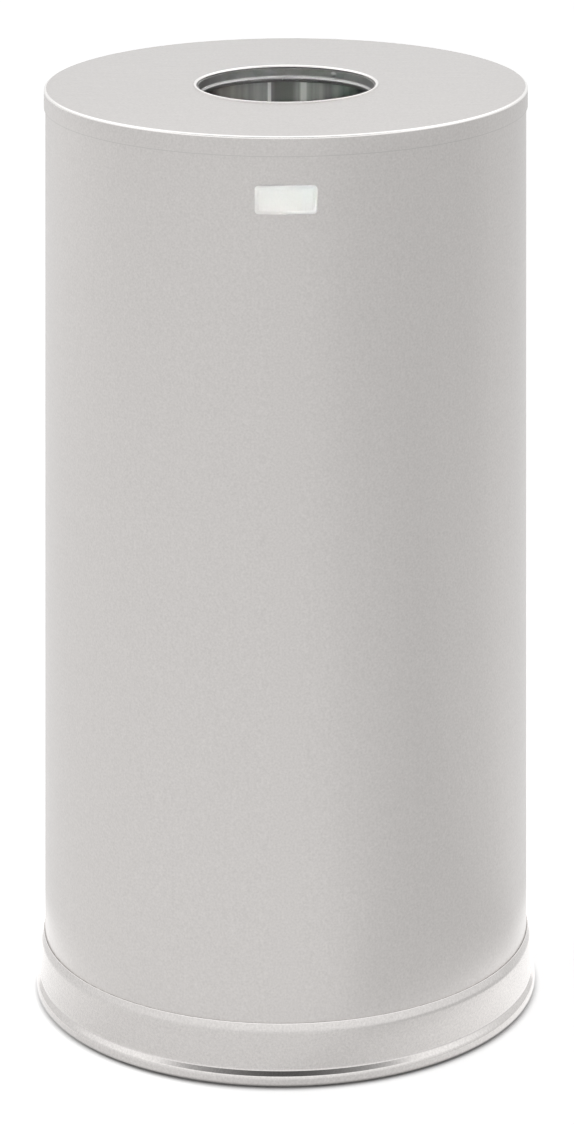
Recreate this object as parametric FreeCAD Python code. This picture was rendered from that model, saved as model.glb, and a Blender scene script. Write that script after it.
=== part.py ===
import FreeCAD, Part

import math
import os

# Round trash can of rolled sheet metal: an outer can on rubber feet, a lift-off lid with a round opening,
# and a lift-out liner. Millimetres, +Z up, origin on the floor below the centre, front towards -Y.

# Overall size
body_diameter = 381.0
total_height = 710.8

# Sheet thicknesses
body_gauge = 0.9
lid_gauge = 0.9
ring_gauge = 0.9
pan_gauge = 0.9
collar_gauge = 0.8
liner_gauge = 0.7

# Clearances
lid_clearance = 0.3
nest_clearance = 0.1
liner_clearance = 2.0
wire_clearance = 0.3

# Lid
lid_skirt_depth = 15.2
lid_fold_bend = 0.9
opening_diameter = 139.7
lip_rise = 1.2
lip_width = 3.4
lip_slope_run = 1.0
lip_bend = 0.6
throat_depth = 12.4

# Throat collar
collar_drop = 1.2
collar_bead_height = 5.2
collar_bead_bulge = 1.7
collar_bead_bend = 0.8
collar_hook = 3.4

# Throat rivets
throat_rivet_count = 3
throat_rivet_angle = 56.6
throat_rivet_drop = 4.4
throat_rivet_shank = 3.2
throat_rivet_head = 5.2
throat_rivet_head_height = 1.1
throat_rivet_tail = 4.6
throat_rivet_tail_height = 1.8

# Body
body_curl = 5.0
seam_gap = 0.4
seam_lap = 22.0
seam_joggle = 5.0

# Base ring
ring_height = 45.8
ring_shoulder_height = 5.8
ring_step = 3.3
ring_shoulder_bend = 8.0
bead_height = 12.0
bead_step = 3.3
bead_slope_drop = 4.6
bead_cove_bend = 2.5
bead_bend = 4.0
bead_foot_bend = 3.0
channel_height = 14.0
channel_bend = 0.9
floor_gap = 1.0

# Base pan
well_depth = 5.0
well_wall_run = 1.5
well_bend = 1.2
pan_bend = 2.0
pan_bead_gap = 34.0
pan_bead_width = 22.0
pan_bead_height = 3.0

# Feet
foot_height = 20.0
foot_diameter = 30.0
foot_taper = 2.0
foot_edge_round = 2.0
foot_top_round = 1.0
foot_edge_gap = 9.0
foot_recess_diameter = 15.0
foot_recess_depth = 9.0
washer_diameter = 13.0
washer_thickness = 1.2
foot_rivet_shank = 4.8
foot_rivet_head = 9.4
foot_rivet_head_height = 1.9
foot_rivet_tail = 7.2
foot_rivet_tail_height = 2.4

# Liner
liner_rim_gap = 7.2
liner_rim_drop = 22.0
liner_bottom_recess = 12.0
liner_foot_lip = 6.0
liner_bend = 1.2
rim_wire_diameter = 5.0
liner_bead_inset = 76.3
liner_bead_width = 22.0
liner_bead_height = 2.5
lock_seam_angle = 94.7
lock_seam_width = 8.0
lock_seam_height = 1.4
lock_seam_line = 2.2
lock_seam_line_height = 0.5

# Hand holes in the liner
hand_hole_length = 100.0
hand_hole_height = 32.0
hand_hole_drop = 44.0
trim_lip = 4.0
trim_wall = 1.4

# Places that follow from the sizes above
body_radius = body_diameter / 2
body_inside = body_radius - body_gauge
lid_plane = total_height - lip_rise
lid_inside = lid_plane - lid_gauge
body_top = lid_inside - lid_clearance
opening_radius = opening_diameter / 2
flange_radius = opening_radius + collar_gauge + nest_clearance
ring_top = floor_gap + ring_height
body_bottom = floor_gap + ring_gauge + nest_clearance
pan_radius = body_inside - nest_clearance
well_floor = foot_height + pan_gauge
shelf_height = well_floor + well_depth
rim_roll = rim_wire_diameter / 2 + wire_clearance
rim_radius = body_radius - body_curl - liner_rim_gap
liner_radius = rim_radius - liner_gauge - 2 * rim_roll
liner_inside = liner_radius - liner_gauge
liner_rim = lid_plane - liner_rim_drop
liner_floor = well_floor + liner_bottom_recess
liner_bead_radius = liner_inside - liner_bead_inset
hand_hole_centre = liner_rim - hand_hole_drop
well_radius = liner_radius + liner_clearance
foot_circle = well_radius - foot_edge_gap - foot_diameter / 2
pan_bead_radius = foot_circle - foot_diameter / 2 - pan_bead_gap - pan_bead_width / 2

ORIGIN = FreeCAD.Vector(0, 0, 0)
UP = FreeCAD.Vector(0, 0, 1)
SIDEWAYS = FreeCAD.Vector(1, 0, 0)


def place(radius, height):
    """A point of a section, drawn in the XZ plane."""
    return FreeCAD.Vector(radius, 0, height)


def direction(start, end):
    length = math.hypot(end[0] - start[0], end[1] - start[1])
    return (end[0] - start[0]) / length, (end[1] - start[1]) / length


def turn_at(points, index):
    """The turn at a corner in radians, positive to the left, and the directions into and out of it."""
    into = direction(points[index - 1], points[index])
    out = direction(points[index], points[index + 1])
    cross = into[0] * out[1] - into[1] * out[0]
    dot = into[0] * out[0] + into[1] * out[1]
    return math.atan2(cross, dot), into, out


def rounded_edges(points, radii):
    """Straight runs joined by tangent arcs, or by a sharp corner where the radius is 0."""
    edges = []
    reached = points[0]
    for index in range(1, len(points) - 1):
        corner = points[index]
        if radii[index] == 0:
            edges += straight(reached, corner)
            reached = corner
            continue
        turn, into, out = turn_at(points, index)
        setback = radii[index] * math.tan(abs(turn) / 2)
        first = (corner[0] - into[0] * setback, corner[1] - into[1] * setback)
        last = (corner[0] + out[0] * setback, corner[1] + out[1] * setback)
        bulge = radii[index] * (1 / math.cos(turn / 2) - 1)
        inward = direction((0, 0), (out[0] - into[0], out[1] - into[1]))
        middle = (corner[0] + inward[0] * bulge, corner[1] + inward[1] * bulge)
        edges += straight(reached, first)
        edges.append(Part.Arc(place(*first), place(*middle), place(*last)).toShape())
        reached = last
    return edges + straight(reached, points[-1])


def straight(start, end):
    """One straight edge, or none where two arcs meet."""
    if math.hypot(end[0] - start[0], end[1] - start[1]) < 1e-6:
        return []
    return [Part.LineSegment(place(*start), place(*end)).toShape()]


def sheet_section(path, gauge):
    """The section of a bent sheet. The path holds (radius, height, inside bend radius) along one face, and the
    sheet lies to the left of it."""
    near = [(corner[0], corner[1]) for corner in path]
    far = []
    near_radii = []
    far_radii = []
    for index, (radius, height, bend) in enumerate(path):
        if 0 < index < len(path) - 1:
            turn, into, out = turn_at(near, index)
        else:
            turn = 0
            into = direction(near[max(index - 1, 0)], near[max(index, 1)])
            out = into
        mitre = gauge / (1 + into[0] * out[0] + into[1] * out[1])
        far.append((radius - mitre * (into[1] + out[1]), height + mitre * (into[0] + out[0])))
        near_radii.append(bend + gauge if turn > 0 else bend)
        far_radii.append(bend if turn > 0 else bend + gauge)
    edges = rounded_edges(near, near_radii)
    edges += straight(near[-1], far[-1])
    edges += rounded_edges(far[::-1], far_radii[::-1])
    edges += straight(far[0], near[0])
    return Part.Face(Part.Wire(edges))


def spun(face, angle=360):
    return face.revolve(ORIGIN, UP, angle)


def spun_sheet(path, gauge):
    return spun(sheet_section(path, gauge))


def closed_section(corners):
    """A closed section. Each corner is (radius, height, rounding), and a rounding of 0 stays sharp."""
    points = [(corner[0], corner[1]) for corner in corners]
    radii = [corner[2] for corner in corners]
    start = ((points[-1][0] + points[0][0]) / 2, (points[-1][1] + points[0][1]) / 2)
    return Part.Face(Part.Wire(rounded_edges([start, *points, start], [0, *radii, 0])))


def wall_section(inner, outer, low, high):
    return closed_section([(inner, low, 0), (outer, low, 0), (outer, high, 0), (inner, high, 0)])


def wall_sector(inner, outer, low, high, start, end):
    """A piece of a round wall between two turns, in degrees from +X."""
    sector = spun(wall_section(inner, outer, low, high), end - start)
    sector.rotate(ORIGIN, UP, start)
    return sector


def tube(inner, outer, low, high):
    return spun(wall_section(inner, outer, low, high))


def arc_degrees(length, radius):
    return math.degrees(length / radius)


def raised_bead(radius, width, rise, floor, bend):
    """Path corners of a round bead pressed up out of a flat disc, from the outside in."""
    half = width / 2
    slope = rise + bend
    return [
        (radius + half, floor, bend),
        (radius + half - slope, floor + rise, bend),
        (radius - half + slope, floor + rise, bend),
        (radius - half, floor, bend),
    ]


def rivet(head, head_height, shank, grip, tail, tail_height):
    """A dome-head rivet on the Z axis: the head below height 0, the formed tail above the grip."""
    head_radius = head / 2
    shank_radius = shank / 2
    tail_radius = tail / 2
    dome_radius = (head_radius ** 2 + head_height ** 2) / (2 * head_height)
    dome_centre = dome_radius - head_height
    half_spread = math.atan2(head_radius, dome_centre) / 2
    dome = Part.Arc(
        place(0, -head_height),
        place(dome_radius * math.sin(half_spread), dome_centre - dome_radius * math.cos(half_spread)),
        place(head_radius, 0),
    ).toShape()
    corners = [
        (head_radius, 0),
        (shank_radius, 0),
        (shank_radius, grip),
        (tail_radius, grip),
        (tail_radius, grip + tail_height / 2),
        (shank_radius, grip + tail_height),
        (0, grip + tail_height),
        (0, -head_height),
    ]
    edges = [dome]
    for start, end in zip(corners, corners[1:]):
        edges += straight(start, end)
    return spun(Part.Face(Part.Wire(edges)))


def around(count, first_turn):
    return [first_turn + index * 360 / count for index in range(count)]


# Outer can
def make_body_shell():
    """Rolled sheet with its top edge curled inwards. One end of the sheet is set in and laps behind the other."""
    curl_bend = body_curl / 2 - body_gauge
    shell = spun_sheet([
        (body_radius, body_bottom, 0),
        (body_radius, body_top, curl_bend),
        (body_radius - body_curl, body_top, curl_bend),
        (body_radius - body_curl, body_top - body_curl, curl_bend),
        (body_inside - nest_clearance, body_top - body_curl, 0),
    ], body_gauge)
    slit = Part.makeBox(seam_gap, body_curl + 2 * body_gauge, total_height)
    slit.translate(FreeCAD.Vector(-seam_gap / 2, body_radius - body_curl - body_gauge, 0))
    shell = shell.cut(slit)
    lap_low = shelf_height + nest_clearance
    lap_high = body_top - body_curl - nest_clearance
    slit_edge = 90 + arc_degrees(seam_gap / 2, body_inside)
    joggle_end = slit_edge + arc_degrees(seam_joggle, body_inside)
    lap_start = slit_edge - arc_degrees(seam_lap, body_inside)
    joggle = wall_sector(
        body_inside - nest_clearance - body_gauge, body_inside + body_gauge / 2,
        lap_low, lap_high, slit_edge, joggle_end)
    lap = wall_sector(
        body_inside - nest_clearance - body_gauge, body_inside - nest_clearance,
        lap_low, lap_high, lap_start, joggle_end)
    return shell.fuse([joggle, lap]).removeSplitter()


def make_base_pan():
    """Pressed pan: flange against the body, shelf, well that holds the liner, and a raised bead."""
    pan = spun_sheet([
        (pan_radius, body_bottom + channel_bend, 0),
        (pan_radius, shelf_height, pan_bend),
        (well_radius + well_wall_run, shelf_height, well_bend),
        (well_radius, well_floor, well_bend),
        *raised_bead(pan_bead_radius, pan_bead_width, pan_bead_height, well_floor, well_bend),
        (0, well_floor, 0),
    ], pan_gauge)
    hole = Part.makeCylinder(foot_rivet_shank / 2 + nest_clearance, shelf_height)
    return pan.cut(at_feet(hole))


def make_base_ring():
    """Roll-formed ring, from its inner channel under the body edge, out round the bead and up to the lip."""
    band_radius = body_radius + ring_step
    bead_radius = band_radius + bead_step
    bead_top = floor_gap + bead_height
    channel_radius = pan_radius - pan_gauge - nest_clearance - ring_gauge
    lip_radius = body_radius + nest_clearance + ring_gauge
    return spun_sheet([
        (channel_radius, floor_gap + channel_height, 0),
        (channel_radius, floor_gap, channel_bend),
        (bead_radius, floor_gap, bead_foot_bend),
        (bead_radius, bead_top - bead_slope_drop, bead_bend),
        (band_radius, bead_top, bead_cove_bend),
        (band_radius, ring_top - ring_shoulder_height, ring_shoulder_bend),
        (lip_radius, ring_top, 0),
    ], ring_gauge)


def foot_places():
    corners = {}
    for name, turn in (("back_right", 45), ("back_left", 135), ("front_left", 225), ("front_right", 315)):
        x = foot_circle * math.cos(math.radians(turn))
        y = foot_circle * math.sin(math.radians(turn))
        corners[name] = FreeCAD.Vector(x, y, 0)
    return corners


def at_feet(shape):
    return [shape.translated(spot) for spot in foot_places().values()]


def make_foot():
    """Tapered rubber foot with a deep recess below for the washer and the rivet head."""
    top = foot_diameter / 2
    bottom = top - foot_taper
    recess = foot_recess_diameter / 2
    hole = foot_rivet_shank / 2 + nest_clearance
    return spun(closed_section([
        (hole, foot_recess_depth, 0),
        (recess, foot_recess_depth, 0),
        (recess, 0, 0),
        (bottom, 0, foot_edge_round),
        (top, foot_height, foot_top_round),
        (hole, foot_height, 0),
    ]))


def make_foot_washers():
    hole = foot_rivet_shank / 2 + nest_clearance
    washer = tube(hole, washer_diameter / 2, foot_recess_depth - washer_thickness, foot_recess_depth)
    return Part.makeCompound(at_feet(washer))


def make_foot_rivets():
    grip = washer_thickness + foot_height - foot_recess_depth + pan_gauge
    fastener = rivet(
        foot_rivet_head, foot_rivet_head_height, foot_rivet_shank, grip,
        foot_rivet_tail, foot_rivet_tail_height)
    fastener.translate(FreeCAD.Vector(0, 0, foot_recess_depth - washer_thickness))
    return Part.makeCompound(at_feet(fastener))


# Lid
def throat_rivet_places(shape):
    """Copies of a shape made along +X, turned to each rivet of the throat."""
    places = []
    for turn in around(throat_rivet_count, throat_rivet_angle):
        copy = shape.copy()
        copy.rotate(ORIGIN, UP, turn)
        places.append(copy)
    return places


def throat_rivet_hole():
    hole = Part.makeCylinder(
        throat_rivet_shank / 2 + nest_clearance, 2 * opening_radius, ORIGIN, SIDEWAYS)
    hole.translate(FreeCAD.Vector(0, 0, lid_plane - throat_rivet_drop))
    return hole


def make_lid_top():
    """Pressed lid: skirt, folded edge, flat disc, raised lip, and a flange down into the opening."""
    skirt_radius = body_radius + lid_clearance + lid_gauge
    crest_radius = flange_radius + lip_width - lip_slope_run
    flange_low = lid_plane - throat_depth + collar_gauge + lid_clearance
    lid = spun_sheet([
        (skirt_radius, lid_plane - lid_skirt_depth, 0),
        (skirt_radius, lid_plane, lid_fold_bend),
        (flange_radius + lip_width, lid_plane, lip_bend),
        (crest_radius, lid_plane + lip_rise, lip_bend),
        (flange_radius, lid_plane + lip_rise, lip_bend),
        (flange_radius, flange_low, 0),
    ], lid_gauge)
    return lid.cut(throat_rivet_places(throat_rivet_hole()))


def make_throat_collar():
    """Ring inside the lid's flange. Its lower edge swells inwards in a bead and hooks out under the flange."""
    low = lid_plane - throat_depth
    bead_top = low + collar_bead_height
    bead_slope = collar_bead_height / 4
    crest = opening_radius - collar_bead_bulge
    collar = spun_sheet([
        (opening_radius, lid_plane - collar_drop, 0),
        (opening_radius, bead_top, collar_bead_bend),
        (crest, bead_top - bead_slope, collar_bead_bend),
        (crest, low + bead_slope, collar_bead_bend),
        (opening_radius, low, collar_bead_bend),
        (opening_radius + collar_hook, low, 0),
    ], collar_gauge)
    return collar.cut(throat_rivet_places(throat_rivet_hole()))


def make_throat_rivets():
    grip = collar_gauge + lid_gauge + 3 * nest_clearance
    fastener = rivet(
        throat_rivet_head, throat_rivet_head_height, throat_rivet_shank, grip,
        throat_rivet_tail, throat_rivet_tail_height)
    fastener.rotate(ORIGIN, FreeCAD.Vector(0, 1, 0), 90)
    fastener.translate(FreeCAD.Vector(
        opening_radius - nest_clearance, 0, lid_plane - throat_rivet_drop))
    return Part.makeCompound(throat_rivet_places(fastener))


# Liner
def slot_bar(length, height, low, high):
    """A bar along X with a slot-shaped section, for cutting or trimming the hand holes."""
    radius = height / 2
    half = length / 2 - radius
    centre = hand_hole_centre
    near = FreeCAD.Vector(low, -half, centre - radius)
    far = FreeCAD.Vector(low, half, centre - radius)
    near_top = FreeCAD.Vector(low, -half, centre + radius)
    far_top = FreeCAD.Vector(low, half, centre + radius)
    face = Part.Face(Part.Wire([
        Part.LineSegment(near, far).toShape(),
        Part.Arc(far, FreeCAD.Vector(low, half + radius, centre), far_top).toShape(),
        Part.LineSegment(far_top, near_top).toShape(),
        Part.Arc(near_top, FreeCAD.Vector(low, -half - radius, centre), near).toShape(),
    ]))
    return face.extrude(FreeCAD.Vector(high - low, 0, 0))


def make_liner_wall():
    """Rolled galvanised sheet: foot lip turned in, upright lock seam, rim rolled out over a wire, hand holes."""
    rim_inside = liner_rim - liner_gauge
    roll = 2 * rim_roll
    wall = spun_sheet([
        (liner_radius - liner_foot_lip, well_floor, 0),
        (liner_radius, well_floor, liner_bend),
        (liner_radius, rim_inside, rim_roll),
        (liner_radius + roll, rim_inside, rim_roll),
        (liner_radius + roll, rim_inside - roll, rim_roll),
        (liner_radius + rim_roll / 2, rim_inside - roll, 0),
    ], liner_gauge)
    seam_low = well_floor + 2 * liner_bend + liner_gauge
    seam_high = rim_inside - roll - liner_gauge - nest_clearance
    middle = liner_radius - liner_gauge / 2
    half_fold = arc_degrees(lock_seam_width / 2, liner_radius)
    half_line = arc_degrees(lock_seam_line / 2, liner_radius)
    fold = wall_sector(
        middle, liner_radius + lock_seam_height, seam_low, seam_high,
        lock_seam_angle - half_fold, lock_seam_angle + half_fold)
    line = wall_sector(
        liner_inside - lock_seam_line_height, middle, liner_floor + liner_bend, rim_inside - rim_roll,
        lock_seam_angle - half_line, lock_seam_angle + half_line)
    wall = wall.fuse([fold, line]).removeSplitter()
    return wall.cut(slot_bar(hand_hole_length, hand_hole_height, -body_radius, body_radius))


def make_liner_bottom():
    """Set-in bottom disc with a flange down to the wall's foot lip, and a raised bead."""
    radius = liner_inside - nest_clearance
    return spun_sheet([
        (radius, well_floor + liner_gauge + liner_bend + nest_clearance, 0),
        (radius, liner_floor, liner_bend),
        *raised_bead(liner_bead_radius, liner_bead_width, liner_bead_height, liner_floor, liner_bend),
        (0, liner_floor, 0),
    ], liner_gauge)


def make_rim_wire():
    ring = Part.makeTorus(liner_radius + rim_roll, rim_wire_diameter / 2)
    ring.translate(FreeCAD.Vector(0, 0, liner_rim - liner_gauge - rim_roll))
    return ring


def make_hand_hole_trim(side):
    """Edge trim with a channel round the cut edge of a hand hole. Side is 1 on the right, -1 on the left."""
    low, high = sorted((side * liner_radius / 2, side * body_radius))
    top = hand_hole_centre + hand_hole_height
    bottom = hand_hole_centre - hand_hole_height
    block = slot_bar(hand_hole_length + 2 * trim_lip, hand_hole_height + 2 * trim_lip, low, high)
    mouth = slot_bar(hand_hole_length - 2 * trim_wall, hand_hole_height - 2 * trim_wall, low, high)
    bridge = slot_bar(
        hand_hole_length - 2 * nest_clearance, hand_hole_height - 2 * nest_clearance, low, high)
    band = tube(liner_inside - trim_wall, liner_radius + trim_wall, bottom, top)
    sheet = tube(liner_inside - nest_clearance, liner_radius + nest_clearance, bottom, top)
    return block.cut(mouth).common(band).cut(sheet.cut(bridge))


def make_parts():
    parts = {
        "body_shell": make_body_shell(),
        "base_pan": make_base_pan(),
        "base_ring": make_base_ring(),
        "foot_washers": make_foot_washers(),
        "foot_rivets": make_foot_rivets(),
        "lid_top": make_lid_top(),
        "throat_collar": make_throat_collar(),
        "throat_rivets": make_throat_rivets(),
        "liner_wall": make_liner_wall(),
        "liner_bottom": make_liner_bottom(),
        "rim_wire": make_rim_wire(),
        "hand_hole_trim_right": make_hand_hole_trim(1),
        "hand_hole_trim_left": make_hand_hole_trim(-1),
    }
    for name, spot in foot_places().items():
        parts["foot_" + name] = make_foot().translated(spot)
    return parts


os.makedirs("parts", exist_ok=True)
for node, shape in make_parts().items():
    shape.exportStep("parts/" + node + ".step")
    print(node, len(shape.Solids), "solids", round(shape.Volume), "mm3", shape.isValid())
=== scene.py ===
import math

import bmesh
import bpy
from mathutils import Matrix, Vector


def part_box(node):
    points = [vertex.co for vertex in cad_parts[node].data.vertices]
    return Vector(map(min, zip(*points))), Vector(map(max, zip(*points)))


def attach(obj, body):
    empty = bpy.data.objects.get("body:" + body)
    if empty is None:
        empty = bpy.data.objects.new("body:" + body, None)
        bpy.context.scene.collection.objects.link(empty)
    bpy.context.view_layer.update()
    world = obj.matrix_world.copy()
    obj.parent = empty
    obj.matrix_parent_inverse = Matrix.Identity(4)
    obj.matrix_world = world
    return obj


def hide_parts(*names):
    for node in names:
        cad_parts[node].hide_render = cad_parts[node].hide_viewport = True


# Looks of a round trash can: satin stainless body and lid, a base ring with a polished bead, a galvanised
# liner seen through the lid's opening, rubber feet and a blank plate. Metres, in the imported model's frame.
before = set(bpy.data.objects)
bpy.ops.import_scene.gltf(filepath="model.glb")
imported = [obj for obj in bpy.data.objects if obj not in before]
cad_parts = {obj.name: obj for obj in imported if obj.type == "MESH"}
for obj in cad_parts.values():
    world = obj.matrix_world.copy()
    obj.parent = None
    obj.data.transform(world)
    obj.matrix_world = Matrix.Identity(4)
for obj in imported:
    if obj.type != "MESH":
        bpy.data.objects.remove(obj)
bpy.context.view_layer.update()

MM = 0.001

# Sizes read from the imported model
body_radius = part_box("body_shell")[1].x
ring_low, ring_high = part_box("base_ring")
lid_low, lid_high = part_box("lid_top")
collar_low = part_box("throat_collar")[0]

# Camera, fitted to the photograph's frame of 574 by 1125 pixels. The picture's uprights stay parallel
# although it looks down, so its film stands upright while its line of sight dips.
FRAME_WIDTH = 574
FRAME_HEIGHT = 1125
FOCAL_PIXELS = 4150.0
LEVEL_COLUMN = 369.5
HORIZON_ROW = -762.4
CAMERA_PLACE = Vector((0.0, -3.2928, 1.3813))
CAMERA_TURN = -0.0201
CAMERA_REACH = 100.0
SENSOR_WIDTH = 36.0

# Blank plate on the front, bent round the body
PLATE_WIDTH = 47.0 * MM
PLATE_HEIGHT = 21.5 * MM
PLATE_MIDDLE = 662.0 * MM
PLATE_THICKNESS = 0.5 * MM
PLATE_CORNER = 3.0 * MM
PLATE_CORNER_STEPS = 6
PLATE_MARGIN = 2.2 * MM
GROOVE_WIDTH = 1.0 * MM
GROOVE_DEPTH = 0.2 * MM
PLATE_STEP = 1.5 * MM

# Studio. The backdrop's strength is for the camera, the sky's for matt surfaces, and the others are for
# reflections. Each WAY is a level direction, and an EDGE or CORE beside it is the cosine of the angle
# from it. Heights in the surroundings are sines of the elevation.
BACKDROP_STRENGTH = 1.0
SKY_STRENGTH = 0.4

# White floor: what the camera sees of it, its glow in reflections, and the thin shade where the can stands
FLOOR_HALF = 30.0
FLOOR_WHITE = 0.62
FLOOR_GLOW = 0.5
CONTACT_REACH = 6 * MM
CONTACT_DARK = 0.2
CONTACT_CLEAR = 0.9
CONTACT_SAMPLES = 8

# Bright pool on the floor behind the can, from the centre out to SPILL_END, which the base ring mirrors
SPILL_WAY = (0.342, 0.94, 0.0)
SPILL_EDGE = -0.85
SPILL_CORE = 0.1
SPILL_GLOW = 1.05
SPILL_FULL = 0.26
SPILL_END = 0.31

# Shaded side of the floor further out, which the body mirrors as a broad darker run
SHADE_WAY = (0.883, -0.469, 0.0)
SHADE_EDGE = 0.66
SHADE_CORE = 0.86
SHADE_GLOW = 0.395

# Walls behind and in front, the ceiling over them, and its dim part over the camera
WALL_STRENGTH = 1.06
FRONT_STRENGTH = 1.17
WALL_EDGE = 0.5
CEILING_STRENGTH = 1.45
CEILING_FROM = 0.27
CEILING_FULL = 0.5
DIM_STRENGTH = 0.14
DIM_FROM = 0.55
DIM_FULL = 0.64
DIM_TO = 0.88
DIM_FADE = 0.05

# Lamps as name, place, target, size, watts and spread in degrees. None of them shows in reflections.
LAMPS = (
    ("overhead_softbox", (0.0, 0.0, 2.6), (0.0, 0.0, 0.7), 0.7, 9.0, 180),
    ("key_softbox", (-7.0, 4.3, 3.2), (3.0, -1.85, 0.0), 2.5, 85.0, 90),
    ("throat_fill", (0.03, -3.4, 1.40), (0.0, 0.1, 0.67), 0.2, 0.1, 4),
    ("front_softbox", (-1.8, -3.0, 2.6), (-0.6, -1.7, 0.0), 1.2, 9.0, 180))

# Sheet of the lid and the base ring. Bends are given on the outer face.
SHEET_GAUGE = 0.9 * MM
BEND_STEPS = 8
TURN_STEPS = 288
SHARP_ANGLE = math.radians(40)

# Lid
FOLD_BEND = 1.8 * MM
LIP_RISE = 1.2 * MM
LIP_WIDTH = 3.4 * MM
LIP_SLOPE = 1.0 * MM
LIP_COVE = 0.6 * MM
LIP_BEND = 1.5 * MM
FLANGE_RADIUS = 70.75 * MM
FLANGE_DEPTH = 11.3 * MM

# Base ring: an inner channel, a bead at the floor, an upright band and a shoulder that closes on the body
CHANNEL_RADIUS = 187.6 * MM
CHANNEL_HEIGHT = 14.0 * MM
CHANNEL_BEND = 1.8 * MM
FOOT_BEND = 3.9 * MM
BEAD_HEIGHT = 12.0 * MM
BEAD_STEP = 3.3 * MM
BEAD_DROP = 4.6 * MM
BEAD_BEND = 4.9 * MM
COVE_BEND = 2.5 * MM
SHOULDER_HEIGHT = 5.8 * MM
SHOULDER_BEND = 8.9 * MM
LIP_GAP = 0.02 * MM

# Satin stainless: lines left by the polishing belt, and a mottled tone
LINE_LENGTH = 60.0 * MM
LINE_WIDTH = 1.2 * MM
MOTTLE_SIZE = 1.6 * MM
SATIN_DARK = "BAB7B5"
SATIN_LIGHT = "D6D3D1"

# Lid edges: the lip and fold burnished, with a painted highlight, and a band of painted shade along the
# skirt's lower edge
BURNISHED_AND_HIGHLIGHT_LIP = 2.4 * MM
SKIRT_SHADE_BAND = 0.5 * MM
EDGE_FADE = 0.15 * MM

# Bead along the lower edge of the collar in the opening
COLLAR_BEAD = 5.2 * MM
COLLAR_FADE = 0.5 * MM

# Marks up the back of the liner's wall, as place to the right of the middle, half width and colour: a darker
# run, a lighter streak and a painted highlight along the lock seam. Each fades over a share of its half
# width.
LINER_MARKS = (
    (-2.0 * MM, 10.0 * MM, "737271"),
    (14.5 * MM, 2.8 * MM, "E2E1E0"),
    (-13.9 * MM, 1.4 * MM, "FAFAF8"))
MARK_FADE = 0.3

# Finish of the base ring: polished up to this height, satin above
POLISHED_HEIGHT = 14.4 * MM
POLISH_FADE = 0.4 * MM
SHOULDER_FADE = 2.4 * MM
# Band along the ring's top edge that has a painted highlight
TOP_EDGE_HIGHLIGHT = 0.3 * MM

# Sizes of the other patterns
CRYSTAL_SIZE = 12.0 * MM
STREAK_WIDTH = 7.0 * MM
STREAK_LENGTH = 400.0 * MM
CLOUD_SIZE = 4.0 * MM
PEBBLE_SIZE = 0.8 * MM
PEBBLE_HEIGHT = 0.1 * MM
BLOOM_SIZE = 14.0 * MM
RUBBING_SIZE = 18.0 * MM
PEEL_SIZE = 1.5 * MM
PEEL_HEIGHT = 0.05 * MM

# Where most of a noise texture's values lie
NOISE_LOW = 0.3
NOISE_HIGH = 0.7

# Sockets of a Mix node that mixes colours, whose names aren't unique
FACTOR, FIRST, SECOND = 0, 6, 7
MIXED = 2


def linear(code):
    """A colour written as sRGB hex, as linear red, green, blue and alpha."""
    channels = [int(code[start:start + 2], 16) / 255 for start in (0, 2, 4)]
    curved = [c / 12.92 if c <= 0.04045 else ((c + 0.055) / 1.055) ** 2.4 for c in channels]
    return [*curved, 1.0]


def add(tree, kind, inputs=None, **settings):
    """Adds a node. An input, by name or number, is given a value or linked from another node's output."""
    node = tree.nodes.new(kind)
    for name, value in settings.items():
        setattr(node, name, value)
    for name, value in (inputs or {}).items():
        if isinstance(value, bpy.types.NodeSocket):
            tree.links.new(value, node.inputs[name])
        else:
            node.inputs[name].default_value = value
    return node


def start_material(name):
    """An empty material with its output and shader, and the node that gives Object coordinates."""
    material = bpy.data.materials.new(name)
    material.use_nodes = True
    tree = material.node_tree
    tree.nodes.clear()
    shader = add(tree, "ShaderNodeBsdfPrincipled")
    add(tree, "ShaderNodeOutputMaterial", {"Surface": shader.outputs["BSDF"]})
    place = add(tree, "ShaderNodeTexCoord").outputs["Object"]
    return material, tree, shader, place


def satin_grain(tree, place, run, smooth, rough):
    """Satin stainless, as outputs for colour and roughness: a mottled tone, and belt lines in the gloss.

    Run is the lines' reach along each axis. Both patterns are coarser than real ones, so that they show."""
    line_place = add(tree, "ShaderNodeMapping", {"Vector": place, "Scale": [1 / length for length in run]})
    lines = add(tree, "ShaderNodeTexNoise", {
        "Vector": line_place.outputs["Vector"], "Scale": 1.0, "Detail": 3.0})
    mottle = add(tree, "ShaderNodeTexNoise", {"Vector": place, "Scale": 1 / MOTTLE_SIZE, "Detail": 2.0})
    tone = add(tree, "ShaderNodeMix", {
        FACTOR: mottle.outputs["Fac"], FIRST: linear(SATIN_DARK), SECOND: linear(SATIN_LIGHT)},
        data_type="RGBA")
    gloss = add(tree, "ShaderNodeMapRange", {
        "Value": lines.outputs["Fac"], "From Min": NOISE_LOW, "From Max": NOISE_HIGH,
        "To Min": smooth, "To Max": rough})
    return tone.outputs[MIXED], gloss.outputs[0]


def satin_body():
    """Stainless sheet rolled into the body: soft reflections, and a fine grain that runs round the can."""
    material, tree, shader, place = start_material("satin_stainless_body")
    shader.inputs["Metallic"].default_value = 1.0
    colour, roughness = satin_grain(
        tree, place, (LINE_LENGTH, LINE_LENGTH, LINE_WIDTH), smooth=0.30, rough=0.36)
    tree.links.new(colour, shader.inputs["Base Color"])
    tree.links.new(roughness, shader.inputs["Roughness"])
    return material


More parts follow.
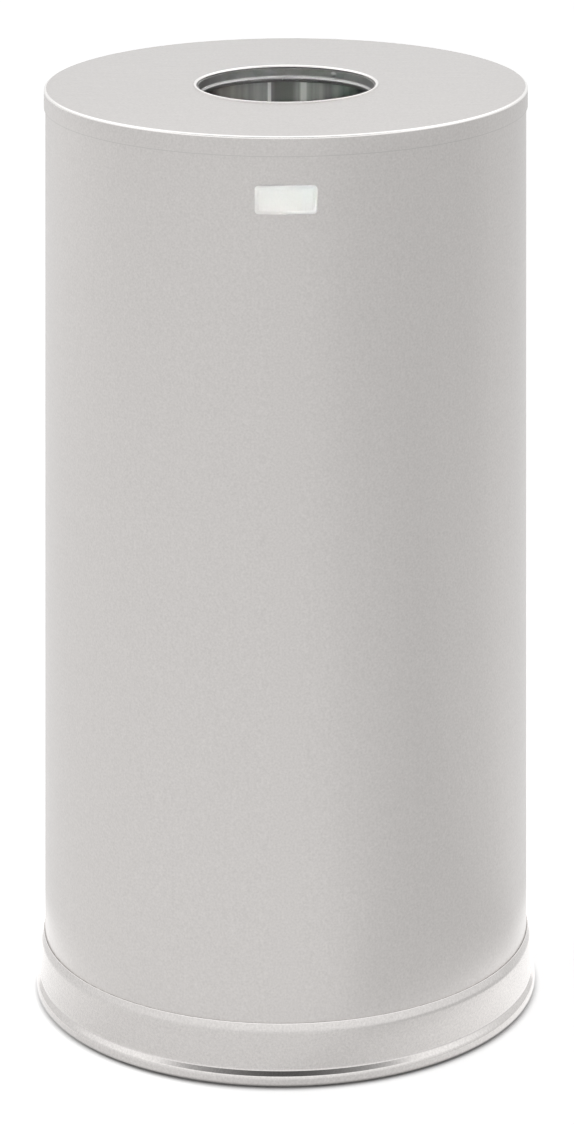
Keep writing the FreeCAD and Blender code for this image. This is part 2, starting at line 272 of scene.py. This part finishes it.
def satin_lid():
    """The same sheet as a lid: straight grain, burnished lip and fold with a painted highlight, painted shade
    along the skirt's lower edge, and painted shade over the top.
    """
    lip_radius = FLANGE_RADIUS + BURNISHED_AND_HIGHLIGHT_LIP
    fold_radius = lid_high.x - FOLD_BEND
    fold_height = lid_high.z - LIP_RISE - FOLD_BEND
    skirt_shade_height = lid_low.z + SKIRT_SHADE_BAND
    material, tree, shader, place = start_material("satin_stainless_lid")
    shader.inputs["Metallic"].default_value = 1.0
    tone, satin = satin_grain(
        tree, place, (LINE_LENGTH, LINE_WIDTH, LINE_LENGTH), smooth=0.30, rough=0.36)
    height = add(tree, "ShaderNodeSeparateXYZ", {"Vector": place}).outputs["Z"]
    level = add(tree, "ShaderNodeVectorMath", {0: place, 1: (1.0, 1.0, 0.0)}, operation="MULTIPLY")
    radius = add(tree, "ShaderNodeVectorMath", {0: level.outputs[0]}, operation="LENGTH").outputs["Value"]
    lip = add(tree, "ShaderNodeMapRange", {
        "Value": radius, "From Min": lip_radius + EDGE_FADE, "From Max": lip_radius - EDGE_FADE})
    far_out = add(tree, "ShaderNodeMapRange", {
        "Value": radius, "From Min": fold_radius - EDGE_FADE, "From Max": fold_radius + EDGE_FADE})
    high_up = add(tree, "ShaderNodeMapRange", {
        "Value": height, "From Min": fold_height - EDGE_FADE, "From Max": fold_height + EDGE_FADE})
    fold = add(tree, "ShaderNodeMath", {0: far_out.outputs[0], 1: high_up.outputs[0]}, operation="MULTIPLY")
    edges = add(tree, "ShaderNodeMath", {0: lip.outputs[0], 1: fold.outputs[0]}, operation="MAXIMUM")
    burnished = add(tree, "ShaderNodeMapRange", {"Value": fold.outputs[0], "To Min": 0.1, "To Max": 0.15})
    roughness = add(tree, "ShaderNodeMapRange", {
        "Value": edges.outputs[0], "To Min": satin, "To Max": burnished.outputs[0]})
    # Painted shade: the top inside the fold is made a little darker than the skirt.
    top = add(tree, "ShaderNodeMapRange", {
        "Value": radius, "From Min": fold_radius + EDGE_FADE, "From Max": fold_radius - EDGE_FADE})
    painted_shade_top = add(tree, "ShaderNodeMix", {
        FACTOR: top.outputs[0], FIRST: tone, SECOND: linear("F2F2F2")},
        data_type="RGBA", blend_type="MULTIPLY")
    # Painted highlight: the burnished lip and fold are given a lighter colour.
    bright = add(tree, "ShaderNodeMix", {
        FACTOR: edges.outputs[0], FIRST: painted_shade_top.outputs[MIXED], SECOND: linear("E8E6E4")}, data_type="RGBA")
    # Painted shade: a darker band along the skirt's lower cut edge, where it stands off the body.
    cut = add(tree, "ShaderNodeMapRange", {
        "Value": height, "From Min": skirt_shade_height + EDGE_FADE, "From Max": skirt_shade_height - EDGE_FADE})
    cut = add(tree, "ShaderNodeMath", {0: cut.outputs[0], 1: far_out.outputs[0]}, operation="MULTIPLY")
    colour = add(tree, "ShaderNodeMix", {
        FACTOR: cut.outputs[0], FIRST: bright.outputs[MIXED], SECOND: linear("BAB8B6")}, data_type="RGBA")
    tree.links.new(colour.outputs[MIXED], shader.inputs["Base Color"])
    tree.links.new(roughness.outputs[0], shader.inputs["Roughness"])
    return material


def ring_stainless():
    """Roll-formed stainless: polished bead at the floor, satin band, bright shoulder and a painted highlight
    along the top edge.
    """
    material, tree, shader, place = start_material("stainless_ring")
    shader.inputs["Metallic"].default_value = 1.0
    shoulder_height = ring_high.z - SHOULDER_HEIGHT
    highlight_height = ring_high.z - TOP_EDGE_HIGHLIGHT
    tone, satin = satin_grain(
        tree, place, (LINE_LENGTH, LINE_LENGTH, LINE_WIDTH), smooth=0.24, rough=0.27)
    height = add(tree, "ShaderNodeSeparateXYZ", {"Vector": place}).outputs["Z"]
    # Painted highlight: a lighter band along the top edge, where the ring closes on the body.
    edge = add(tree, "ShaderNodeMapRange", {
        "Value": height, "From Min": highlight_height - EDGE_FADE, "From Max": highlight_height + EDGE_FADE})
    colour = add(tree, "ShaderNodeMix", {
        FACTOR: edge.outputs[0], FIRST: tone, SECOND: linear("F2F0EE")}, data_type="RGBA")
    shoulder = add(tree, "ShaderNodeMapRange", {
        "Value": height, "From Min": shoulder_height - SHOULDER_FADE,
        "From Max": shoulder_height + SHOULDER_FADE, "To Min": satin, "To Max": 0.16})
    roughness = add(tree, "ShaderNodeMapRange", {
        "Value": height, "From Min": POLISHED_HEIGHT - POLISH_FADE, "From Max": POLISHED_HEIGHT + POLISH_FADE,
        "To Min": 0.1, "To Max": shoulder.outputs[0]})
    tree.links.new(colour.outputs[MIXED], shader.inputs["Base Color"])
    tree.links.new(roughness.outputs[0], shader.inputs["Roughness"])
    return material


def galvanised_steel():
    """Hot-dipped sheet: dull grey zinc with large crystals."""
    material, tree, shader, place = start_material("galvanised_steel")
    shader.inputs["Metallic"].default_value = 0.3
    crystals = add(tree, "ShaderNodeTexVoronoi", {"Vector": place, "Scale": 1 / CRYSTAL_SIZE})
    colour = add(tree, "ShaderNodeMix", {
        FACTOR: crystals.outputs["Color"], FIRST: linear("7F7E7D"), SECOND: linear("8E8D8C")},
        data_type="RGBA")
    tree.links.new(colour.outputs[MIXED], shader.inputs["Base Color"])
    shader.inputs["Roughness"].default_value = 0.42
    return material


def collar_steel():
    """Galvanised sheet of the collar: dull zinc, bare and smoother along the bead at its lower edge, with a
    painted highlight there.
    """
    material, tree, shader, place = start_material("galvanised_collar")
    bead_top = collar_low.z + COLLAR_BEAD
    crystals = add(tree, "ShaderNodeTexVoronoi", {"Vector": place, "Scale": 1 / CRYSTAL_SIZE})
    sheet = add(tree, "ShaderNodeMix", {
        FACTOR: crystals.outputs["Color"], FIRST: linear("777675"), SECOND: linear("868584")},
        data_type="RGBA")
    height = add(tree, "ShaderNodeSeparateXYZ", {"Vector": place}).outputs["Z"]
    bead = add(tree, "ShaderNodeMapRange", {
        "Value": height, "From Min": bead_top + COLLAR_FADE, "From Max": bead_top - COLLAR_FADE})
    # Painted highlight: the bead is given a lighter colour.
    colour = add(tree, "ShaderNodeMix", {
        FACTOR: bead.outputs[0], FIRST: sheet.outputs[MIXED], SECOND: linear("AEADAC")}, data_type="RGBA")
    bare = add(tree, "ShaderNodeMapRange", {"Value": bead.outputs[0], "To Min": 0.3, "To Max": 0.8})
    roughness = add(tree, "ShaderNodeMapRange", {"Value": bead.outputs[0], "To Min": 0.42, "To Max": 0.25})
    tree.links.new(colour.outputs[MIXED], shader.inputs["Base Color"])
    tree.links.new(bare.outputs[0], shader.inputs["Metallic"])
    tree.links.new(roughness.outputs[0], shader.inputs["Roughness"])
    return material


def liner_sheet():
    """Galvanised sheet of the liner: dull zinc in upright streaks, with a painted highlight along the lock
    seam.
    """
    material, tree, shader, place = start_material("galvanised_liner")
    shader.inputs["Metallic"].default_value = 0.3
    streak_place = add(tree, "ShaderNodeMapping", {
        "Vector": place, "Scale": (1 / STREAK_WIDTH, 1 / STREAK_WIDTH, 1 / STREAK_LENGTH)})
    streaks = add(tree, "ShaderNodeTexNoise", {
        "Vector": streak_place.outputs["Vector"], "Scale": 1.0, "Detail": 2.0})
    dull = add(tree, "ShaderNodeMapRange", {
        "Value": streaks.outputs["Fac"], "From Min": 0.35, "From Max": 0.65})
    sheet = add(tree, "ShaderNodeMix", {
        FACTOR: dull.outputs[0], FIRST: linear("8F8E8D"), SECOND: linear("B6B5B4")}, data_type="RGBA")
    parts = add(tree, "ShaderNodeSeparateXYZ", {"Vector": place})
    back = add(tree, "ShaderNodeMath", {0: parts.outputs["Y"], 1: 0.0}, operation="GREATER_THAN")
    colour = sheet.outputs[MIXED]
    # The lock seam's mark is a painted highlight.
    for middle, half, code in LINER_MARKS:
        gap = add(tree, "ShaderNodeMath", {0: parts.outputs["X"], 1: middle}, operation="SUBTRACT")
        gap = add(tree, "ShaderNodeMath", {0: gap.outputs[0]}, operation="ABSOLUTE")
        band = add(tree, "ShaderNodeMapRange", {
            "Value": gap.outputs[0], "From Min": half * (1 + MARK_FADE),
            "From Max": half * (1 - MARK_FADE), "To Max": back.outputs[0]})
        colour = add(tree, "ShaderNodeMix", {
            FACTOR: band.outputs[0], FIRST: colour, SECOND: linear(code)}, data_type="RGBA").outputs[MIXED]
    tree.links.new(colour, shader.inputs["Base Color"])
    shader.inputs["Roughness"].default_value = 0.42
    return material


def zinc_plating():
    """Zinc plating on wire, washers and rivets: half-bright grey, with a faint clouding."""
    material, tree, shader, place = start_material("zinc_plating")
    shader.inputs["Metallic"].default_value = 1.0
    clouds = add(tree, "ShaderNodeTexNoise", {"Vector": place, "Scale": 1 / CLOUD_SIZE, "Detail": 2.0})
    colour = add(tree, "ShaderNodeMix", {
        FACTOR: clouds.outputs["Fac"], FIRST: linear("8E8F90"), SECOND: linear("A2A2A1")}, data_type="RGBA")
    roughness = add(tree, "ShaderNodeMapRange", {
        "Value": clouds.outputs["Fac"], "From Min": NOISE_LOW, "From Max": NOISE_HIGH,
        "To Min": 0.34, "To Max": 0.44})
    tree.links.new(colour.outputs[MIXED], shader.inputs["Base Color"])
    tree.links.new(roughness.outputs[0], shader.inputs["Roughness"])
    return material


def black_rubber():
    """Moulded rubber: matt black, with a pebbled skin from the mould and a little bloom."""
    material, tree, shader, place = start_material("moulded_rubber")
    pebbles = add(tree, "ShaderNodeTexNoise", {"Vector": place, "Scale": 1 / PEBBLE_SIZE, "Detail": 2.0})
    bloom = add(tree, "ShaderNodeTexNoise", {"Vector": place, "Scale": 1 / BLOOM_SIZE, "Detail": 3.0})
    colour = add(tree, "ShaderNodeMix", {
        FACTOR: bloom.outputs["Fac"], FIRST: linear("1E1E1E"), SECOND: linear("2C2C2B")}, data_type="RGBA")
    skin = add(tree, "ShaderNodeBump", {
        "Height": pebbles.outputs["Fac"], "Strength": 0.5, "Distance": PEBBLE_HEIGHT})
    tree.links.new(colour.outputs[MIXED], shader.inputs["Base Color"])
    tree.links.new(skin.outputs["Normal"], shader.inputs["Normal"])
    shader.inputs["Roughness"].default_value = 0.75
    return material


def black_vinyl():
    """Extruded vinyl edge trim: black with a soft sheen, smoother where hands have rubbed it."""
    material, tree, shader, place = start_material("extruded_vinyl")
    rubbing = add(tree, "ShaderNodeTexNoise", {"Vector": place, "Scale": 1 / RUBBING_SIZE, "Detail": 2.0})
    colour = add(tree, "ShaderNodeMix", {
        FACTOR: rubbing.outputs["Fac"], FIRST: linear("252526"), SECOND: linear("303031")}, data_type="RGBA")
    roughness = add(tree, "ShaderNodeMapRange", {
        "Value": rubbing.outputs["Fac"], "From Min": NOISE_LOW, "From Max": NOISE_HIGH,
        "To Min": 0.52, "To Max": 0.36})
    tree.links.new(colour.outputs[MIXED], shader.inputs["Base Color"])
    tree.links.new(roughness.outputs[0], shader.inputs["Roughness"])
    return material


def plate_enamel():
    """Baked enamel of the blank plate: off-white and smooth, with a faint orange peel."""
    material, tree, shader, place = start_material("plate_enamel")
    peel = add(tree, "ShaderNodeTexNoise", {"Vector": place, "Scale": 1 / PEEL_SIZE, "Detail": 1.0})
    colour = add(tree, "ShaderNodeMix", {
        FACTOR: peel.outputs["Fac"], FIRST: linear("E2E1DE"), SECOND: linear("E9E8E5")}, data_type="RGBA")
    skin = add(tree, "ShaderNodeBump", {
        "Height": peel.outputs["Fac"], "Strength": 0.2, "Distance": PEEL_HEIGHT})
    tree.links.new(colour.outputs[MIXED], shader.inputs["Base Color"])
    tree.links.new(skin.outputs["Normal"], shader.inputs["Normal"])
    shader.inputs["Roughness"].default_value = 0.35
    return material


def floor_material():
    """Matt white floor with the can's shadow, lifted to white for the camera and glowing in reflections."""
    material = bpy.data.materials.new("studio_floor")
    material.use_nodes = True
    tree = material.node_tree
    tree.nodes.clear()
    path = add(tree, "ShaderNodeLightPath")
    mirrored = add(tree, "ShaderNodeMath", {
        0: path.outputs["Is Glossy Ray"], 1: path.outputs["Is Transmission Ray"]}, operation="MAXIMUM")
    place = add(tree, "ShaderNodeTexCoord").outputs["Object"]
    way = add(tree, "ShaderNodeVectorMath", {0: place}, operation="NORMALIZE")
    along = add(tree, "ShaderNodeVectorMath", {
        0: way.outputs["Vector"], 1: SPILL_WAY}, operation="DOT_PRODUCT")
    behind = add(tree, "ShaderNodeMapRange", {
        "Value": along.outputs["Value"], "From Min": SPILL_EDGE, "From Max": SPILL_CORE,
        "To Min": FLOOR_GLOW, "To Max": SPILL_GLOW})
    aside = add(tree, "ShaderNodeVectorMath", {
        0: way.outputs["Vector"], 1: SHADE_WAY}, operation="DOT_PRODUCT")
    shade = add(tree, "ShaderNodeMapRange", {
        "Value": aside.outputs["Value"], "From Min": SHADE_EDGE, "From Max": SHADE_CORE,
        "To Min": FLOOR_GLOW, "To Max": SHADE_GLOW}, interpolation_type="SMOOTHSTEP")
    distance = add(tree, "ShaderNodeVectorMath", {0: place}, operation="LENGTH")
    glow = add(tree, "ShaderNodeMapRange", {
        "Value": distance.outputs["Value"], "From Min": SPILL_FULL, "From Max": SPILL_END,
        "To Min": behind.outputs[0], "To Max": shade.outputs[0]}, interpolation_type="SMOOTHSTEP")
    glow = add(tree, "ShaderNodeMath", {0: glow.outputs[0], 1: mirrored.outputs[0]}, operation="MULTIPLY")
    glow = add(tree, "ShaderNodeMapRange", {
        "Value": path.outputs["Is Camera Ray"], "To Min": glow.outputs[0], "To Max": FLOOR_WHITE})
    open_sky = add(tree, "ShaderNodeAmbientOcclusion", {"Distance": CONTACT_REACH}, samples=CONTACT_SAMPLES)
    contact = add(tree, "ShaderNodeMapRange", {
        "Value": open_sky.outputs["AO"], "From Min": CONTACT_DARK, "From Max": CONTACT_CLEAR})
    glow = add(tree, "ShaderNodeMath", {0: glow.outputs[0], 1: contact.outputs[0]}, operation="MULTIPLY")
    paint = add(tree, "ShaderNodeBsdfDiffuse", {"Color": linear("E6E6E6")})
    lift = add(tree, "ShaderNodeEmission", {"Strength": glow.outputs[0]})
    both = add(tree, "ShaderNodeAddShader", {0: paint.outputs[0], 1: lift.outputs[0]})
    add(tree, "ShaderNodeOutputMaterial", {"Surface": both.outputs[0]})
    return material


def finish_piece(name, shape, body, material):
    """Makes a shape an object that rides on a body: smooth, with edges sharper than a bend kept crisp."""
    for face in shape.faces:
        face.smooth = True
    for edge in shape.edges:
        edge.smooth = edge.calc_face_angle(0.0) < SHARP_ANGLE
    mesh = bpy.data.meshes.new(name)
    shape.to_mesh(mesh)
    shape.free()
    mesh.materials.append(material)
    piece = bpy.data.objects.new(name, mesh)
    bpy.context.scene.collection.objects.link(piece)
    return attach(piece, body)


def spin_sheet(name, node, body, material, corners):
    """Sheet piece in place of a node, with finer bends: its outer face is spun from corners, then thickened.

    A corner is radius, height and bend."""
    places = [Vector((radius, 0.0, height)) for radius, height, bend in corners]
    shape = bmesh.new()
    points = [shape.verts.new(place) for place in places]
    for start, end in zip(points, points[1:]):
        shape.edges.new((start, end))
    for index in range(1, len(corners) - 1):
        turn = (places[index] - places[index - 1]).angle(places[index + 1] - places[index])
        bmesh.ops.bevel(
            shape, geom=[points[index]], offset=corners[index][2] * math.tan(turn / 2), offset_type="OFFSET",
            affect="VERTICES", segments=BEND_STEPS, profile=0.5, material=-1)
    bmesh.ops.spin(
        shape, geom=shape.verts[:] + shape.edges[:], cent=(0.0, 0.0, 0.0), axis=(0.0, 0.0, 1.0),
        angle=2 * math.pi, steps=TURN_STEPS, use_merge=True)
    bmesh.ops.recalc_face_normals(shape, faces=shape.faces)
    bmesh.ops.solidify(shape, geom=shape.faces[:], thickness=SHEET_GAUGE)
    piece = finish_piece(name, shape, body, material)
    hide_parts(node)
    return piece


def make_lid():
    """Lid from its skirt's cut edge, over fold, top and raised lip, down to the end of its inner flange."""
    top = lid_high.z - LIP_RISE
    lid = spin_sheet("pressed_lid", "lid_top", "lid", satin_lid(), (
        (lid_high.x, lid_low.z, 0.0),
        (lid_high.x, top, FOLD_BEND),
        (FLANGE_RADIUS + LIP_WIDTH, top, LIP_COVE),
        (FLANGE_RADIUS + LIP_WIDTH - LIP_SLOPE, lid_high.z, LIP_BEND),
        (FLANGE_RADIUS, lid_high.z, LIP_BEND),
        (FLANGE_RADIUS, top - FLANGE_DEPTH, 0.0)))


def make_ring():
    """Base ring from its inner channel, under the bead, up the band and over the shoulder to the body."""
    band_radius = ring_high.x - BEAD_STEP
    bead_top = ring_low.z + BEAD_HEIGHT
    ring = spin_sheet("rolled_ring", "base_ring", "can", ring_stainless(), (
        (CHANNEL_RADIUS, ring_low.z + CHANNEL_HEIGHT, 0.0),
        (CHANNEL_RADIUS, ring_low.z, CHANNEL_BEND),
        (ring_high.x, ring_low.z, FOOT_BEND),
        (ring_high.x, bead_top - BEAD_DROP, BEAD_BEND),
        (band_radius, bead_top, COVE_BEND),
        (band_radius, ring_high.z - SHOULDER_HEIGHT, SHOULDER_BEND),
        (body_radius + LIP_GAP + SHEET_GAUGE, ring_high.z, 0.0)))


def make_floor():
    mesh = bpy.data.meshes.new("studio_floor")
    shape = bmesh.new()
    bmesh.ops.create_grid(shape, x_segments=1, y_segments=1, size=FLOOR_HALF)
    shape.to_mesh(mesh)
    shape.free()
    floor = bpy.data.objects.new("studio_floor", mesh)
    bpy.context.scene.collection.objects.link(floor)
    mesh.materials.append(floor_material())


def make_world():
    """White surroundings. The ceiling is brighter, with a dim part that the bead mirrors as a dark band."""
    world = bpy.data.worlds.new("studio")
    bpy.context.scene.world = world
    world.use_nodes = True
    tree = world.node_tree
    tree.nodes.clear()
    path = add(tree, "ShaderNodeLightPath")
    way = add(tree, "ShaderNodeTexCoord").outputs["Generated"]
    parts = add(tree, "ShaderNodeSeparateXYZ", {"Vector": way})
    above = add(tree, "ShaderNodeMapRange", {
        "Value": parts.outputs["Z"], "From Min": DIM_FROM, "From Max": DIM_FULL},
        interpolation_type="SMOOTHSTEP")
    below = add(tree, "ShaderNodeMapRange", {
        "Value": parts.outputs["Z"], "From Min": DIM_TO, "From Max": DIM_TO - DIM_FADE})
    breadth = add(tree, "ShaderNodeVectorMath", {0: way, 1: (1.0, 1.0, 0.0)}, operation="MULTIPLY")
    level = add(tree, "ShaderNodeVectorMath", {0: breadth.outputs["Vector"]}, operation="NORMALIZE")
    facing = add(tree, "ShaderNodeSeparateXYZ", {"Vector": level.outputs["Vector"]})
    ahead = add(tree, "ShaderNodeMapRange", {
        "Value": facing.outputs["Y"], "From Min": 0.0, "From Max": -1.0})
    dim = add(tree, "ShaderNodeMath", {0: above.outputs[0], 1: below.outputs[0]}, operation="MULTIPLY")
    dim = add(tree, "ShaderNodeMath", {0: dim.outputs[0], 1: ahead.outputs[0]}, operation="MULTIPLY")
    wall = add(tree, "ShaderNodeMapRange", {
        "Value": facing.outputs["Y"], "From Min": WALL_EDGE, "From Max": -WALL_EDGE,
        "To Min": WALL_STRENGTH, "To Max": FRONT_STRENGTH})
    ceiling = add(tree, "ShaderNodeMapRange", {
        "Value": parts.outputs["Z"], "From Min": CEILING_FROM, "From Max": CEILING_FULL,
        "To Min": wall.outputs[0], "To Max": CEILING_STRENGTH})
    mirrored = add(tree, "ShaderNodeMapRange", {
        "Value": dim.outputs[0], "To Min": ceiling.outputs[0], "To Max": DIM_STRENGTH})
    seen = add(tree, "ShaderNodeMath", {
        0: path.outputs["Is Glossy Ray"], 1: path.outputs["Is Transmission Ray"]}, operation="MAXIMUM")
    soft = add(tree, "ShaderNodeMapRange", {
        "Value": seen.outputs[0], "To Min": SKY_STRENGTH, "To Max": mirrored.outputs[0]})
    strength = add(tree, "ShaderNodeMapRange", {
        "Value": path.outputs["Is Camera Ray"], "To Min": soft.outputs[0], "To Max": BACKDROP_STRENGTH})
    light = add(tree, "ShaderNodeBackground", {"Color": linear("FFFFFF"), "Strength": strength.outputs[0]})
    add(tree, "ShaderNodeOutputWorld", {"Surface": light.outputs[0]})


def make_lamps():
    for name, place, target, size, watts, spread in LAMPS:
        data = bpy.data.lights.new(name, "AREA")
        data.size = size
        data.energy = watts
        data.spread = math.radians(spread)
        lamp = bpy.data.objects.new(name, data)
        lamp.location = place
        lamp.rotation_euler = (Vector(target) - Vector(place)).to_track_quat("-Z", "Y").to_euler()
        lamp.visible_glossy = False
        bpy.context.scene.collection.objects.link(lamp)


def make_camera():
    """Camera whose film stands upright while its line of sight dips."""
    data = bpy.data.cameras.new("camera")
    camera = bpy.data.objects.new("camera", data)
    stand = bpy.data.objects.new("camera_stand", None)
    for item in (stand, camera):
        bpy.context.scene.collection.objects.link(item)
    across = Vector((math.cos(CAMERA_TURN), math.sin(CAMERA_TURN), 0.0))
    ahead = Vector((-math.sin(CAMERA_TURN), math.cos(CAMERA_TURN), 0.0))
    upright = Vector((0.0, 0.0, 1.0))
    sight = ahead + across * (FRAME_WIDTH / 2 - LEVEL_COLUMN) / FOCAL_PIXELS
    sight -= upright * (FRAME_HEIGHT / 2 - HORIZON_ROW) / FOCAL_PIXELS
    data.sensor_width = SENSOR_WIDTH
    data.lens = FOCAL_PIXELS * sight.length / FRAME_HEIGHT * SENSOR_WIDTH
    data.clip_end = CAMERA_REACH
    back = -sight.normalized()
    camera.parent = stand
    camera.matrix_parent_inverse = Matrix((
        (across.x, upright.x, back.x, CAMERA_PLACE.x),
        (across.y, upright.y, back.y, CAMERA_PLACE.y),
        (across.z, upright.z, back.z, CAMERA_PLACE.z),
        (0.0, 0.0, 0.0, 1.0)))
    bpy.context.scene.camera = camera


def dress_frame():
    """Gives every node that shows its finish."""
    galvanised = galvanised_steel()
    zinc = zinc_plating()
    rubber = black_rubber()
    vinyl = black_vinyl()
    finishes = {
        "body_shell": satin_body(), "base_pan": galvanised,
        "foot_front_left": rubber, "foot_front_right": rubber,
        "foot_back_left": rubber, "foot_back_right": rubber,
        "foot_washers": zinc, "foot_rivets": zinc,
        "throat_collar": collar_steel(), "throat_rivets": zinc,
        "liner_wall": liner_sheet(), "liner_bottom": galvanised, "rim_wire": zinc,
        "hand_hole_trim_left": vinyl, "hand_hole_trim_right": vinyl}
    for name, finish in finishes.items():
        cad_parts[name].material_slots[0].material = finish


def make_plate():
    """Thin enamelled plate: a rounded rectangle with a groove pressed inside its edge, curved to the body."""
    shape = bmesh.new()
    bmesh.ops.create_grid(shape, x_segments=1, y_segments=1, size=0.5)
    bmesh.ops.scale(shape, vec=(PLATE_WIDTH, PLATE_HEIGHT, 1.0), verts=shape.verts)
    bmesh.ops.bevel(
        shape, geom=shape.verts[:], offset=PLATE_CORNER, offset_type="OFFSET", affect="VERTICES",
        segments=PLATE_CORNER_STEPS, profile=0.5, material=-1)
    raised = bmesh.ops.extrude_face_region(shape, geom=shape.faces[:], use_keep_orig=True)["geom"]
    field = [part for part in raised if isinstance(part, bmesh.types.BMFace)]
    bmesh.ops.translate(shape, verts=field[0].verts[:], vec=(0.0, 0.0, PLATE_THICKNESS))
    bmesh.ops.inset_region(shape, faces=field, thickness=PLATE_MARGIN)
    for depth in (-GROOVE_DEPTH, 0.0, GROOVE_DEPTH):
        bmesh.ops.inset_region(shape, faces=field, thickness=GROOVE_WIDTH / 3, depth=depth)
    columns = int(PLATE_WIDTH / PLATE_STEP)
    for column in range(1, columns):
        place = PLATE_WIDTH * (column / columns - 0.5)
        bmesh.ops.bisect_plane(
            shape, geom=shape.verts[:] + shape.edges[:] + shape.faces[:], plane_co=(place, 0.0, 0.0),
            plane_no=(1.0, 0.0, 0.0))
    for vertex in shape.verts:
        turn = vertex.co.x / body_radius
        radius = body_radius + vertex.co.z
        height = PLATE_MIDDLE + vertex.co.y
        vertex.co = (radius * math.sin(turn), -radius * math.cos(turn), height)
    bmesh.ops.recalc_face_normals(shape, faces=shape.faces)
    finish_piece("blank_plate", shape, "can", plate_enamel())


bpy.context.scene.view_settings.view_transform = "Standard"
make_world()
make_lamps()
make_floor()
make_camera()
dress_frame()
make_lid()
make_ring()
make_plate()
